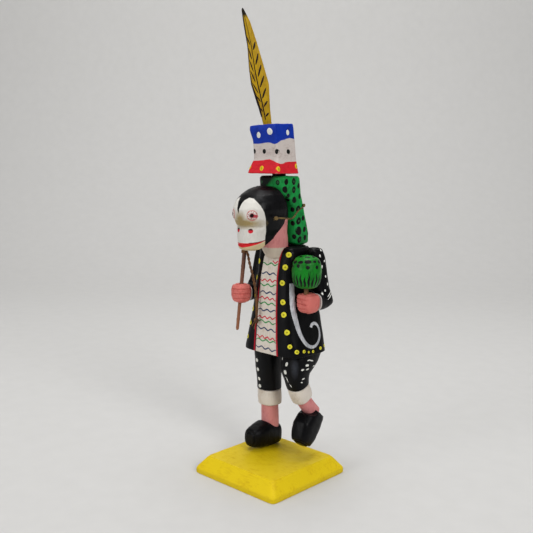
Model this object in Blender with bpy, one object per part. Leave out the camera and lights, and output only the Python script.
"""Carved and painted masked dancer on a square base, as separate named pieces.

The figure dances on its right foot and faces -Y; its left is +X and +Z is up.
The origin is the centre of the base's underside. Lengths below are in
millimetres and are multiplied by MM when a mesh is made.
"""
import math
from collections import namedtuple

import bmesh
import bpy
from mathutils import Matrix, Vector

for old in list(bpy.data.objects):
    bpy.data.objects.remove(old, do_unlink=True)

MM = 0.001
GAP = 0.3                    # air between glued or resting pieces

# driving sizes
BASE_SIDE = 82.0
BASE_HEIGHT = 13.0
BASE_EDGE = 3.8              # upright part of the base's edge
BASE_CHAMFER = 7.0           # how far the top face steps in
HEM_Z = 94.5                 # underside of the coat
SHOULDER_Z = 174.6           # top of the coat
HOOD_TOP_Z = 226.0
HAT_BOTTOM_Z = 227.8
HAT_TOP_Z = 262.8
DOWEL_RADIUS = 2.0

# joint axes
PEG_AXIS = (0.0, 4.8)        # x, y of the upright peg that the hat turns on
PEG_RADIUS = 5.0
MASK_HINGE = (0.0, -4.0, 205.0)
RATTLE_AXIS = (28.9, 4.2)    # x, y of the upright rattle handle
STICK_TOP = (-24.0, -5.6, 172.0)
STICK_BOTTOM = (-24.0, -12.9, 109.5)

# colours are linear, with roughness
PALETTE = {
    "yellow_paint": ((0.58, 0.43, 0.02), 0.55),
    "black_paint": ((0.012, 0.012, 0.014), 0.45),
    "white_paint": ((0.62, 0.57, 0.51), 0.60),
    "pink_paint": ((0.62, 0.20, 0.19), 0.55),
    "red_paint": ((0.60, 0.02, 0.03), 0.50),
    "blue_paint": ((0.01, 0.04, 0.42), 0.50),
    "green_paint": ((0.02, 0.26, 0.05), 0.50),
    "gold_paint": ((0.55, 0.36, 0.02), 0.55),
    "twig_bark": ((0.15, 0.06, 0.03), 0.70),
    "twisted_cord": ((0.12, 0.07, 0.03), 0.90),
    "pale_wood": ((0.50, 0.33, 0.17), 0.70),
}

Section = namedtuple("Section", "centre half power lean turn")


def section(centre, half, power=3.0, lean=0.0, turn=0.0):
    """A rounded cross-section: lean tips it about X, turn spins it about its own normal."""
    return Section(Vector(centre), half, power, math.radians(lean), math.radians(turn))


def grown(sections, extra):
    """The same sections, each larger all round by extra."""
    return [s._replace(half=(s.half[0] + extra, s.half[1] + extra)) for s in sections]


def material(name):
    """The named finish from the palette, made once."""
    if name in bpy.data.materials:
        return bpy.data.materials[name]
    colour, roughness = PALETTE[name]
    made = bpy.data.materials.new(name)
    made.use_nodes = True
    shader = made.node_tree.nodes["Principled BSDF"]
    shader.inputs["Base Color"].default_value = (*colour, 1.0)
    shader.inputs["Roughness"].default_value = roughness
    shader.inputs["Metallic"].default_value = 0.0
    return made


def make_object(name, bm, finish, origin=(0, 0, 0)):
    """Store a mesh given in millimetres as an object whose origin is at origin."""
    bmesh.ops.recalc_face_normals(bm, faces=bm.faces)
    bmesh.ops.translate(bm, verts=bm.verts, vec=-Vector(origin))
    bmesh.ops.scale(bm, verts=bm.verts, vec=(MM, MM, MM))
    mesh = bpy.data.meshes.new(name)
    bm.to_mesh(mesh)
    bm.free()
    mesh.shade_smooth()
    mesh.set_sharp_from_angle(angle=math.radians(40))
    made = bpy.data.objects.new(name, mesh)
    made.location = Vector(origin) * MM
    if finish:
        mesh.materials.append(material(finish))
    bpy.context.scene.collection.objects.link(made)
    return made


def add_ring(bm, sec, segments):
    """One superellipse ring of edges at a section."""
    ring = bmesh.ops.create_circle(bm, cap_ends=False, segments=segments, radius=1.0)["verts"]
    place = (Matrix.Translation(sec.centre) @ Matrix.Rotation(sec.lean, 4, "X")
             @ Matrix.Rotation(sec.turn, 4, "Z"))
    for vert in ring:
        x, y = vert.co.x, vert.co.y
        x = math.copysign(abs(x) ** (2.0 / sec.power), x) * sec.half[0]
        y = math.copysign(abs(y) ** (2.0 / sec.power), y) * sec.half[1]
        vert.co = place @ Vector((x, y, 0.0))
    inside = set(ring)
    return [edge for edge in bm.edges if edge.verts[0] in inside and edge.verts[1] in inside]


def loft(name, finish, sections, segments=24, origin=(0, 0, 0)):
    """A closed solid through the sections, with flat ends."""
    bm = bmesh.new()
    rings = [add_ring(bm, sec, segments) for sec in sections]
    for lower, upper in zip(rings, rings[1:]):
        bmesh.ops.bridge_loops(bm, edges=lower + upper)
    for end in (rings[0], rings[-1]):
        bmesh.ops.holes_fill(bm, edges=end, sides=segments)
    return make_object(name, bm, finish, origin)


def rod(name, finish, start, end, radius, end_radius=None, segments=16, origin=(0, 0, 0)):
    """A round bar, or a taper, between two points."""
    start, end = Vector(start), Vector(end)
    bm = bmesh.new()
    run = end - start
    turn = run.to_track_quat("Z", "Y").to_matrix().to_4x4()
    bmesh.ops.create_cone(
        bm, cap_ends=True, segments=segments, radius1=radius,
        radius2=radius if end_radius is None else end_radius, depth=run.length,
        matrix=Matrix.Translation((start + end) / 2) @ turn)
    return make_object(name, bm, finish, origin)


def knot(name, finish, centre, radii, origin=(0, 0, 0)):
    """A small egg-shaped lump of cord."""
    bm = bmesh.new()
    place = Matrix.Translation(Vector(centre)) @ Matrix.Diagonal((*radii, 1.0))
    bmesh.ops.create_uvsphere(bm, u_segments=12, v_segments=8, radius=1.0, matrix=place)
    return make_object(name, bm, finish, origin)


def prism(name, outline, half_width):
    """A block whose side outline is a list of (y, z), used to cut."""
    bm = bmesh.new()
    corners = [bm.verts.new((-half_width, y, z)) for y, z in outline]
    face = bm.faces.new(corners)
    swept = bmesh.ops.extrude_face_region(bm, geom=[face])["geom"]
    moved = [item for item in swept if isinstance(item, bmesh.types.BMVert)]
    bmesh.ops.translate(bm, verts=moved, vec=(2 * half_width, 0, 0))
    return make_object(name, bm, None)


def cut(target, *cutters):
    """Subtract each cutter from the target and keep the cutter as a hidden guide."""
    for cutter in cutters:
        cutter.hide_render = True
        cutter.display_type = "WIRE"
        step = target.modifiers.new(cutter.name, "BOOLEAN")
        step.operation = "DIFFERENCE"
        step.solver = "EXACT"
        step.object = cutter


def dowel(name, start, end, *held_in, radius=DOWEL_RADIUS, finish="pale_wood"):
    """A glued dowel and its holes in the pieces that it joins."""
    start, end = Vector(start), Vector(end)
    along = (end - start).normalized() * GAP
    hole = rod(name + "_hole", None, start - along, end + along, radius + GAP, segments=12)
    for piece in held_in:
        cut(piece, hole)
    return rod(name, finish, start, end, radius, segments=12)


def smooth_route(points, spacing):
    """Points about one spacing apart on a smooth curve through the given ones."""
    points = [Vector(p) for p in points]
    padded = [2 * points[0] - points[1], *points, 2 * points[-1] - points[-2]]
    route = []
    for p0, p1, p2, p3 in zip(padded, padded[1:], padded[2:], padded[3:]):
        steps = max(1, round((p2 - p1).length / spacing))
        for step in range(steps):
            t = step / steps
            route.append(0.5 * (2 * p1 + (p2 - p0) * t + (2 * p0 - 5 * p1 + 4 * p2 - p3) * t * t
                                + (3 * p1 - 3 * p2 + p3 - p0) * t ** 3))
    return route + [points[-1]]


def cord(name, points, diameter, origin=(0, 0, 0)):
    """A plain tube along a smooth route."""
    curve = bpy.data.curves.new(name, "CURVE")
    curve.dimensions = "3D"
    curve.bevel_depth = diameter / 2 * MM
    curve.bevel_resolution = 2
    curve.use_fill_caps = True
    route = smooth_route(points, 2.5 * diameter)
    spline = curve.splines.new("POLY")
    spline.points.add(len(route) - 1)
    for point, place in zip(spline.points, route):
        point.co = (*((place - Vector(origin)) * MM), 1.0)
    curve.materials.append(material("twisted_cord"))
    made = bpy.data.objects.new(name, curve)
    made.location = Vector(origin) * MM
    bpy.context.scene.collection.objects.link(made)
    return made


# ---------------------------------------------------------------- base

def build_base():
    """Square board with rounded corners and a broad chamfer."""
    half = BASE_SIDE / 2
    square = 26.0
    return loft("base", "yellow_paint", [
        section((0, 0, 0), (half, half), square),
        section((0, 0, BASE_EDGE), (half, half), square),
        section((0, 0, BASE_HEIGHT), (half - BASE_CHAMFER, half - BASE_CHAMFER), square),
    ], segments=48)


# ---------------------------------------------------------------- legs

def clog_sections(size):
    """Heel to toe, sole on z = 0, the ankle's axis through the origin, toe towards -Y."""
    stations = [                 # y, middle height, half width, half height
        (6.8, 7.4, 5.6, 5.8),
        (5.9, 7.4, 7.2, 7.1),
        (3.0, 8.0, 8.0, 7.8),
        (-4.0, 9.8, 8.4, 9.6),
        (-9.0, 10.6, 8.4, 10.2),
        (-14.0, 10.3, 8.3, 9.2),
        (-19.0, 10.2, 7.7, 7.9),
        (-22.6, 9.9, 6.0, 6.2),
        (-24.2, 9.6, 3.8, 4.0),
    ]
    broad, long, high = size
    return [section((0, y * long, z * high), (wide * broad, tall * high), 3.0, lean=90)
            for y, z, wide, tall in stations]


def build_clog(name, ankle, pitch, size, ankle_sections):
    """A closed-toe clog whose heel is under the ankle, tipped toe-down by pitch degrees."""
    clog = loft(name, "black_paint", clog_sections(size), segments=20)
    clog.matrix_world = (Matrix.Translation(Vector(ankle) * MM)
                         @ Matrix.Rotation(math.radians(pitch), 4, "X"))
    cut(clog, loft(name + "_opening", None, grown(ankle_sections, GAP), segments=16))
    return clog


RIGHT_ANKLE = (-17.0, 18.5, BASE_HEIGHT + GAP)
RIGHT_CLOG_SIZE = (1.0, 1.0, 1.0)   # breadth, length and height against the pattern
RIGHT_ANKLE_SECTIONS = [
    section((-16.0, 16.2, 46.0), (6.2, 6.2), 2.4),
    section((-16.4, 16.9, 38.0), (6.2, 6.2), 2.4),
    section((-16.9, 17.7, 24.5), (6.2, 6.2), 2.4),
]
LEFT_ANKLE = (19.4, 29.8, 36.4)
LEFT_CLOG_PITCH = 46.0
LEFT_CLOG_SIZE = (0.84, 0.93, 0.95)
LEFT_ANKLE_SECTIONS = [
    section((15.7, 19.2, 56.6), (5.4, 5.6), 2.4, lean=30),
    section((17.2, 23.0, 51.2), (5.4, 5.6), 2.4, lean=34),
    section((19.0, 27.0, 46.0), (5.4, 5.6), 2.4, lean=42),
]


def build_right_leg():
    """The standing leg: breeches, turned-up cuff, ankle and clog."""
    breeches = loft("right_breeches", "black_paint", [
        section((-15.0, 12.4, HEM_Z - GAP), (10.2, 10.4), 2.6),
        section((-15.4, 13.4, 78.0), (9.5, 9.6), 2.5),
        section((-15.9, 15.0, 66.0), (9.0, 9.0), 2.4),
        section((-16.0, 15.4, 60.2), (9.0, 9.0), 2.4),
    ])
    cuff = loft("right_breeches_cuff", "white_paint", [
        section((-16.0, 15.4, 60.2 - GAP), (8.7, 8.7), 2.4),
        section((-16.0, 15.9, 53.0), (8.9, 8.9), 2.4),
        section((-16.0, 16.4, 46.3), (8.6, 8.6), 2.4),
    ])
    ankle = loft("right_ankle", "pink_paint", RIGHT_ANKLE_SECTIONS, segments=16)
    clog = build_clog("right_clog", RIGHT_ANKLE, 0.0, RIGHT_CLOG_SIZE, RIGHT_ANKLE_SECTIONS)
    return breeches, cuff, ankle, clog


def build_left_leg():
    """The raised leg: the thigh comes forward, the shin hangs back and the toe points down."""
    breeches = loft("left_breeches", "black_paint", [
        section((14.4, 21.0, HEM_Z - GAP), (10.2, 10.4), 2.6),
        section((14.5, 17.6, 88.0), (10.0, 10.1), 2.6, lean=-12),
        section((14.5, 13.8, 79.5), (9.1, 9.4), 2.5, lean=-12),
        section((14.6, 12.4, 74.0), (8.5, 8.8), 2.4, lean=2),
        section((14.9, 13.4, 68.8), (8.0, 8.2), 2.4, lean=20),
    ])
    cuff = loft("left_breeches_cuff", "white_paint", [
        section((14.9, 13.6, 68.4), (7.8, 8.0), 2.4, lean=20),
        section((15.2, 16.0, 63.4), (7.9, 8.3), 2.4, lean=26),
        section((15.6, 18.9, 57.2), (7.3, 7.7), 2.4, lean=30),
    ])
    ankle = loft("left_ankle", "pink_paint", LEFT_ANKLE_SECTIONS, segments=16)
    clog = build_clog("left_clog", LEFT_ANKLE, LEFT_CLOG_PITCH, LEFT_CLOG_SIZE,
                      LEFT_ANKLE_SECTIONS)
    return breeches, cuff, ankle, clog


# ---------------------------------------------------------------- coat and shirt

COAT_STATIONS = [                # height, middle y, half width, half depth
    (HEM_Z, 15.0, 27.6, 22.0),
    (97.0, 15.0, 27.4, 22.0),
    (110.0, 15.2, 24.6, 21.2),
    (122.0, 15.2, 22.2, 20.3),
    (130.0, 14.9, 20.7, 19.4),
    (142.0, 13.8, 19.2, 17.2),
    (154.0, 13.6, 17.9, 15.8),
    (165.0, 13.5, 17.8, 14.5),
    (171.0, 13.5, 17.2, 13.8),
    (173.6, 13.6, 15.8, 12.6),
    (SHOULDER_Z, 13.8, 13.8, 10.8),
]
SHIRT_STATIONS = [               # height, right edge x, left edge x
    (HEM_Z, -11.0, 11.0),
    (110.0, -11.0, 8.8),
    (130.0, -11.0, 7.0),
    (152.0, -10.6, 5.4),
    (165.0, -9.2, 6.2),
    (172.6, -7.0, 7.6),
]
SHIRT_DEPTH = 3.2
SHIRT_SETBACK = 0.7


def coat_front(height):
    """The y of the coat's front, halfway across, at a height."""
    for (z0, mid0, _, deep0), (z1, mid1, _, deep1) in zip(COAT_STATIONS, COAT_STATIONS[1:]):
        if z0 <= height <= z1:
            t = (height - z0) / (z1 - z0)
            return (mid0 - deep0) * (1 - t) + (mid1 - deep1) * t
    raise ValueError("height is outside the coat")


def shirt_sections(front_extra, side_extra, end_extra, power):
    """Sections of the shirt board, which can reach forward or grow for its seat."""
    made = []
    last = len(SHIRT_STATIONS) - 1
    for index, (z, right, left) in enumerate(SHIRT_STATIONS):
        front = coat_front(z) + SHIRT_SETBACK - front_extra
        back = coat_front(z) + SHIRT_SETBACK + SHIRT_DEPTH + side_extra
        height = z - end_extra if index == 0 else z + (end_extra if index == last else 0)
        made.append(section(((left + right) / 2, (front + back) / 2, height),
                            ((left - right) / 2 + side_extra, (back - front) / 2), power))
    return made


def build_coat():
    """The open coat, one block with a shallow seat down the front, and the shirt in it."""
    coat = loft("coat", "black_paint",
                [section((0, mid, z), (wide, deep), 4.5) for z, mid, wide, deep in COAT_STATIONS],
                segments=36)
    cut(coat, loft("coat_seat", None, shirt_sections(12.0, GAP, 2.0, 20.0), segments=24))
    shirt = loft("shirt_front", "white_paint", shirt_sections(0.0, 0.0, 0.0, 6.0), segments=24)
    return coat, shirt


# ---------------------------------------------------------------- head, hood, hat

HEAD_SECTIONS = [
    section((0, 2.8, 166.0), (6.8, 6.6), 2.4),
    section((0, 1.4, 173.0), (8.8, 9.4), 2.5),
    section((0, -0.2, 180.0), (9.6, 10.4), 2.6),
    section((0, -2.4, 185.0), (9.7, 11.6), 2.6),
    section((0, -2.8, 194.0), (10.4, 12.0), 2.6),
    section((0, -2.8, 203.0), (10.4, 12.0), 2.6),
    section((0, -3.2, 209.0), (9.4, 10.4), 2.5),
    section((0, -3.6, 211.6), (7.0, 7.4), 2.4),
]
HOOD_STATIONS = [                # height, front y, back y, half width
    (175.0, 15.0, 26.0, 9.8),
    (176.6, 12.0, 28.8, 11.4),
    (182.0, 11.2, 28.0, 12.0),
    (192.0, 10.0, 24.8, 12.2),
    (203.0, 8.4, 21.0, 12.2),
    (209.0, 4.0, 19.4, 12.3),
    (213.0, -4.8, 18.5, 12.4),
    (224.8, -5.4, 16.4, 12.6),
    (HOOD_TOP_Z, -4.8, 15.8, 12.0),
]


def build_head_and_hood():
    """The head that the mask hides, and the tall hood carved to fit over its back and crown."""
    head = loft("head", "pink_paint", HEAD_SECTIONS)
    hood = loft("hood", "green_paint",
                [section((0, (front + back) / 2, z), (wide, (back - front) / 2), 5.0)
                 for z, front, back, wide in HOOD_STATIONS])
    cut(hood, loft("hood_seat", None, grown(HEAD_SECTIONS, GAP)))
    return head, hood


HAT_STATIONS = [                 # height, middle x, middle y, half side
    (HAT_BOTTOM_Z, 0.0, -1.4, 13.7),
    (229.4, 0.0, -1.3, 13.4),
    (238.2, 0.5, -0.2, 11.4),
    (241.0, 0.4, -0.2, 11.1),
    (251.0, -0.2, -1.0, 11.0),
    (259.6, -1.4, -2.4, 11.7),
    (262.0, -1.6, -2.7, 11.2),
    (HAT_TOP_Z, -1.6, -2.7, 9.2),
]
HAT_TURN = 5.0
FEATHER_STATIONS = [             # height, x, y, half width, half thickness
    (256.0, -2.2, -4.2, 1.3, 1.3),
    (263.1, -2.8, -5.1, 1.3, 1.3),
    (264.4, -3.0, -5.5, 2.5, 1.4),
    (274.0, -3.8, -7.4, 3.8, 1.3),
    (282.0, -4.6, -9.0, 5.0, 1.2),
    (291.0, -5.6, -10.8, 6.4, 1.1),
    (301.0, -6.7, -13.0, 5.6, 1.0),
    (317.0, -8.2, -16.0, 3.7, 0.9),
    (333.0, -10.2, -20.0, 2.3, 0.8),
    (341.8, -11.7, -22.9, 0.5, 0.4),
]
FEATHER_TURN = 42.0


def build_hat():
    """The square hat on its round peg, and the carved feather that stands in it."""
    axis = (*PEG_AXIS, HAT_BOTTOM_Z)
    hat = loft("hat", "red_paint",
               [section((x, y, z), (half, half), 14.0, turn=HAT_TURN)
                for z, x, y, half in HAT_STATIONS], segments=32, origin=axis)
    peg_foot, peg_head = HOOD_TOP_Z - 10.0, HAT_BOTTOM_Z + 8.0
    cut(hat, rod("hat_hole", None, (*PEG_AXIS, HAT_BOTTOM_Z - 1.0), (*PEG_AXIS, peg_head + GAP),
                 PEG_RADIUS + GAP, segments=24))
    quill_hole = [section((x, y, z), (wide, thick), 2.0)
                  for z, x, y, wide, thick in FEATHER_STATIONS[:2]]
    above = section((-3.1, -5.6, 267.0), (1.3, 1.3), 2.0)
    foot = section((-2.2, -4.2, 256.0 - GAP), (1.3, 1.3), 2.0)
    cut(hat, loft("quill_hole", None, grown([foot, quill_hole[1], above], GAP), segments=16))
    feather = loft("feather", "gold_paint",
                   [section((x, y, z), (wide, thick), 1.7 if wide > thick else 2.0,
                            turn=FEATHER_TURN)
                    for z, x, y, wide, thick in FEATHER_STATIONS], segments=16, origin=axis)
    peg = rod("hat_peg", "black_paint", (*PEG_AXIS, peg_foot), (*PEG_AXIS, peg_head),
              PEG_RADIUS, segments=24)
    return hat, feather, peg


# ---------------------------------------------------------------- mask and its cord

MASK_STATIONS = [                # height, front y, half width
    (173.6, -30.0, 7.6),
    (175.0, -32.4, 9.8),
    (178.0, -33.4, 11.0),
    (184.0, -33.6, 11.4),
    (186.4, -33.4, 12.4),
    (188.6, -33.0, 13.4),
    (191.0, -32.6, 14.0),
    (197.0, -35.6, 15.6),
    (203.0, -35.2, 17.0),
    (208.0, -32.4, 16.8),
    (213.0, -27.4, 15.0),
    (216.6, -21.8, 12.0),
    (218.8, -16.0, 7.6),
]
MASK_BACK_Y = 12.0               # where the closed shape ends before the back is cut off
MASK_WALL = 2.4
MASK_CUT = [                     # side outline of what is cut away behind the mask
    (-10.2, 230.0), (-9.0, 219.0), (-5.6, 209.0), (-3.6, 198.0), (-4.4, 192.5),
    (-12.5, 182.0), (-20.0, 177.4), (-27.0, 172.0), (-27.0, 160.0), (40.0, 160.0), (40.0, 230.0),
]


def mask_sections(wall):
    """The mask's closed shape, or its hollow when wall is its thickness."""
    made = []
    for z, front, wide in MASK_STATIONS:
        front, wide = front + wall, wide - wall
        height = z + wall * (1 if z < 176 else -1 if z > 212 else 0)
        made.append(section((0, (front + MASK_BACK_Y) / 2, height),
                            (wide, (MASK_BACK_Y - front) / 2), 2.5))
    return made


MASK_HOLE = (16.2, -16.7, 197.0)
CORD_DIAMETER = 1.3
TIE_ROUTE = [(18.3, -15.4, 197.1), (18.8, -12.5, 197.0), (18.8, -9.0, 196.6),
             (18.6, -6.0, 196.2), (18.3, -3.0, 195.9)]
CORD_SIDE = [(18.1, -2.0, 195.9), (17.0, 2.0, 196.8), (15.2, 6.2, 198.6), (13.8, 9.8, 200.6),
             (13.4, 13.0, 202.4), (13.4, 16.4, 204.1)]
CORD_BACK = [(13.2, 19.4, 205.3), (11.4, 21.6, 206.0), (6.0, 21.9, 206.2), (0.0, 21.9, 206.3)]


def mirrored(points):
    """The same points on the other side of the figure."""
    return [(-x, y, z) for x, y, z in points]


def build_mask():
    """The hollow monkey mask, its two ties, and the cord that holds it round the hood."""
    mask = loft("mask", "black_paint", mask_sections(0.0), segments=32, origin=MASK_HINGE)
    cut(mask, loft("mask_hollow", None, mask_sections(MASK_WALL), segments=32),
        prism("mask_back_cut", MASK_CUT, 24.0))
    through = MASK_HOLE[0] + 4.0
    cut(mask, rod("mask_cord_hole", None, (-through, *MASK_HOLE[1:]), (through, *MASK_HOLE[1:]),
                  0.9, segments=10))
    pieces = [mask]
    for side, mirror in (("left", list), ("right", mirrored)):
        pieces.append(cord("mask_tie_" + side, mirror(TIE_ROUTE), CORD_DIAMETER, MASK_HINGE))
        centre = mirror([(18.2, -17.2, 197.1)])[0]
        pieces.append(knot("mask_tie_knot_" + side, "twisted_cord", centre, (1.2, 1.5, 1.3),
                           MASK_HINGE))
    half = CORD_SIDE + CORD_BACK
    pieces.append(cord("mask_cord", half + mirrored(half[:-1])[::-1], CORD_DIAMETER))
    pieces.append(knot("mask_cord_knot", "twisted_cord", (14.6, 18.8, 207.2), (1.1, 1.3, 1.6)))
    return pieces


# ---------------------------------------------------------------- arms

def build_sleeve(name, stations):
    """A bent coat sleeve from shoulder to wrist: x, y, z, half width, half depth, lean."""
    return loft(name, "black_paint",
                [section((x, y, z), (wide, deep), 2.8, lean=lean)
                 for x, y, z, wide, deep, lean in stations])


def build_fist(name, x, y, bottom, half, height, hole_start, hole_end, hole_radius):
    """A closed hand with an upright hole through the grip."""
    profile = [(0.0, 0.62), (0.10, 0.90), (0.30, 1.0), (0.70, 1.0), (0.92, 0.88), (1.0, 0.66)]
    fist = loft(name, "pink_paint",
                [section((x, y, bottom + share * height), (half * size, half * size), 3.0)
                 for share, size in profile], segments=20)
    cut(fist, rod(name + "_grip", None, hole_start, hole_end, hole_radius, segments=12))
    return fist


LEFT_SLEEVE = [
    (23.2, 18.4, 174.2, 3.2, 4.2, 180), (23.5, 18.8, 172.8, 4.7, 5.8, 184),
    (24.2, 21.0, 166.0, 5.2, 6.5, 192), (25.1, 23.0, 152.0, 5.4, 6.6, 188),
    (25.8, 24.2, 143.0, 5.5, 6.6, 183), (26.8, 26.3, 136.8, 5.8, 7.2, 145),
    (27.9, 21.4, 134.6, 6.0, 6.3, 105), (28.7, 14.9, 134.8, 6.1, 6.2, 90),
]
RIGHT_SLEEVE = [
    (-23.4, 16.8, 174.2, 3.2, 4.4, 180), (-23.9, 16.8, 172.8, 4.8, 6.0, 178),
    (-24.6, 16.0, 166.0, 5.3, 6.6, 173), (-25.4, 13.5, 152.0, 5.4, 6.6, 168),
    (-25.9, 11.2, 144.0, 5.5, 6.6, 160), (-26.2, 8.2, 138.2, 5.6, 7.2, 125),
    (-25.8, 3.5, 136.8, 5.6, 6.2, 100), (-24.9, -2.1, 136.9, 5.7, 6.1, 90),
]


# ---------------------------------------------------------------- whip and rattle

LASH_DIAMETER = 2.2
LASH_ROUTE = [(-20.6, -6.5, 168.9), (-19.4, -6.8, 166.4), (-17.5, -7.0, 160.6),
              (-15.4, -7.0, 155.0), (-13.3, -7.0, 149.2), (-11.5, -7.0, 143.2),
              (-10.2, -7.1, 137.0), (-9.3, -7.3, 130.4), (-8.9, -7.6, 123.8),
              (-8.8, -7.9, 120.6)]
LASH_KNOT = (-8.8, -8.2, 118.4)
TAIL_ROUTES = {
    "lash_tail_outer": [(-10.9, -8.4, 117.2), (-12.0, -8.5, 115.6), (-12.8, -8.6, 113.6)],
    "lash_tail_inner": [(-9.4, -8.6, 116.0), (-10.0, -8.7, 114.0), (-10.4, -8.8, 111.8)],
}


def build_whip():
    """A twig handle that slides in the right fist, with a twisted lash tied to its top."""
    stick = rod("whip_stick", "twig_bark", STICK_BOTTOM, STICK_TOP, 1.15, 1.6, origin=STICK_TOP)
    run = (Vector(STICK_TOP) - Vector(STICK_BOTTOM)).normalized()
    low = Vector(STICK_TOP) - run * 4.6
    high = Vector(STICK_TOP) - run * 2.0
    binding = rod("lash_binding", "twisted_cord", low, high, 2.5, segments=16, origin=STICK_TOP)
    cut(binding, rod("lash_binding_hole", None, low - run, high + run, 1.6 + GAP, segments=16))
    lash = cord("whip_lash", LASH_ROUTE, LASH_DIAMETER, STICK_TOP)
    lump = knot("lash_knot", "twisted_cord", LASH_KNOT, (1.9, 1.7, 1.9), STICK_TOP)
    tails = [cord(name, route, 0.9, STICK_TOP) for name, route in TAIL_ROUTES.items()]
    return [stick, binding, lash, lump, *tails]


RATTLE_PROFILE = [               # height, radius
    (146.2, 4.4), (147.4, 7.6), (150.2, 9.8), (154.2, 10.7), (160.4, 10.8), (165.4, 10.0),
    (168.4, 8.1), (170.4, 5.0), (171.2, 2.0),
]
HANDLE_RADIUS = 1.65


def build_rattle():
    """A gourd-shaped rattle head on a stick that turns in the left fist."""
    axis = (*RATTLE_AXIS, RATTLE_PROFILE[0][0])
    head = loft("rattle_head", "green_paint",
                [section((*RATTLE_AXIS, z), (radius, radius), 2.0)
                 for z, radius in RATTLE_PROFILE], origin=axis)
    handle_top = RATTLE_PROFILE[0][0] + 6.0
    cut(head, rod("rattle_socket", None, (*RATTLE_AXIS, 140.0), (*RATTLE_AXIS, handle_top + GAP),
                  HANDLE_RADIUS + GAP, segments=16))
    handle = rod("rattle_handle", "twig_bark", (*RATTLE_AXIS, 131.0), (*RATTLE_AXIS, handle_top),
                 HANDLE_RADIUS, origin=axis)
    return head, handle


def main():
    """Build every piece and the dowels that hold the fixed ones together."""
    base = build_base()
    right_breeches, _, _, right_clog = build_right_leg()
    left_breeches, _, _, _ = build_left_leg()
    coat, shirt = build_coat()
    head, hood = build_head_and_hood()
    build_hat()
    build_mask()
    left_sleeve = build_sleeve("left_sleeve", LEFT_SLEEVE)
    right_sleeve = build_sleeve("right_sleeve", RIGHT_SLEEVE)
    build_fist("left_fist", 29.0, 6.6, 127.8, 7.4, 14.4, (*RATTLE_AXIS, 130.4),
               (*RATTLE_AXIS, 146.0), HANDLE_RADIUS + GAP)
    build_fist("right_fist", -24.0, -9.2, 130.2, 6.4, 14.6, STICK_BOTTOM, STICK_TOP, 1.6 + GAP)
    build_whip()
    build_rattle()

    cut(coat, loft("neck_seat", None, grown(HEAD_SECTIONS[:3], GAP)))
    cut(shirt, loft("shirt_neck_cut", None, grown(HEAD_SECTIONS[:3], GAP)))
    cut(hood, rod("hood_peg_hole", None, (*PEG_AXIS, HOOD_TOP_Z - 10.0 - GAP),
                  (*PEG_AXIS, HOOD_TOP_Z + 2.0), PEG_RADIUS + GAP, segments=24))
    dowel("foot_dowel", (-17.0, 12.0, 4.0), (-17.0, 12.0, 24.0), base, right_clog)
    dowel("neck_dowel", (0, 6.4, 152.0), (0, 5.6, 178.0), coat, head)
    dowel("right_hip_dowel", (-15.0, 12.6, 82.0), (-15.0, 12.6, 108.0), right_breeches, coat)
    dowel("left_hip_dowel", (14.0, 19.2, 84.0), (14.0, 19.2, 108.0), left_breeches, coat)
    dowel("left_shoulder_dowel", (11.0, 18.0, 164.0), (25.0, 18.6, 164.0), left_sleeve, coat)
    dowel("right_shoulder_dowel", (-25.0, 16.0, 164.0), (-11.0, 16.0, 164.0), right_sleeve, coat)


main()
